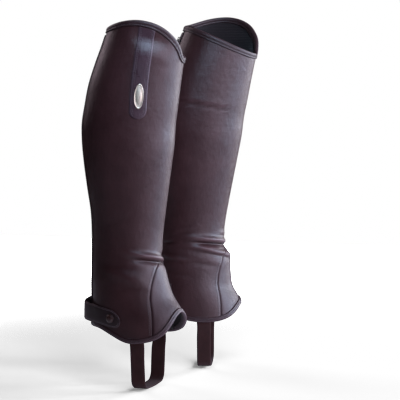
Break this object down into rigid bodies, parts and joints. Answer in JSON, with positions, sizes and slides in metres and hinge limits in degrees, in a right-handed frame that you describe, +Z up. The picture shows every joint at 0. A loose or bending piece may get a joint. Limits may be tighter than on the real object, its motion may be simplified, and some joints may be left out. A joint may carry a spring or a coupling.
{
  "type": "pair of tall leather gaiters",
  "caption": "Knee-high riding gaiters in dark brown synthetic leather, worn form, with shaped top, back zip, ankle strap with snap and elastic stirrup strap.",
  "frame": {"origin": "midway between the two legs, at the fullest part of the calf, where the legs hold the pair", "axes": "+X the way the toes point, +Z up, the right gaiter at -Y and the left gaiter at +Y"},
  "size_m": [0.2158, 0.2915, 0.5126],
  "materials": {
    "leather": "dark brown synthetic leather, fine grain, soft sheen",
    "binding": "folded synthetic leather strip, stitched",
    "strap_leather": "smooth synthetic leather, edge stitched",
    "zip_tape": "woven polyester zip tape with a nylon coil",
    "zip_metal": "dark bronzed zinc",
    "badge_metal": "satin nickel, plain",
    "snap": "brown enamelled snap cap",
    "webbing": "reddish brown woven elastic"
  },
  "bodies": {
    "gaiters": {"right_leg_panel": "leather", "right_instep_gusset": "leather", "right_top_binding": "binding", "right_hem_binding": "binding", "right_badge_tab": "leather", "right_badge": "badge_metal", "right_zip_facing_outer": "binding", "right_zip_facing_inner": "binding", "right_zip_tape": "zip_tape", "right_zip_slider": "zip_metal", "right_ankle_strap": "strap_leather", "right_snap_cap": "snap", "right_stirrup_strap": "webbing", "left_leg_panel": "leather", "left_instep_gusset": "leather", "left_top_binding": "binding", "left_hem_binding": "binding", "left_badge_tab": "leather", "left_badge": "badge_metal", "left_zip_facing_outer": "binding", "left_zip_facing_inner": "binding", "left_zip_tape": "zip_tape", "left_zip_slider": "zip_metal", "left_ankle_strap": "strap_leather", "left_snap_cap": "snap", "left_stirrup_strap": "webbing"},
    "right_pull": {"right_zip_pull": "zip_metal"},
    "left_pull": {"left_zip_pull": "zip_metal"}
  },
  "joints": [
    {"name": "right_pull_swing", "type": "hinge", "parent": "gaiters", "child": "right_pull", "pos_m": [-0.06979, -0.08205, 0.1279], "axis": [0.1392, 0.9903, 0], "range_deg": [0, 150]},
    {"name": "left_pull_swing", "type": "hinge", "parent": "gaiters", "child": "left_pull", "pos_m": [-0.00059, 0.08306, 0.12802], "axis": [-0.1392, 0.9903, 0], "range_deg": [0, 150]}
  ]
}
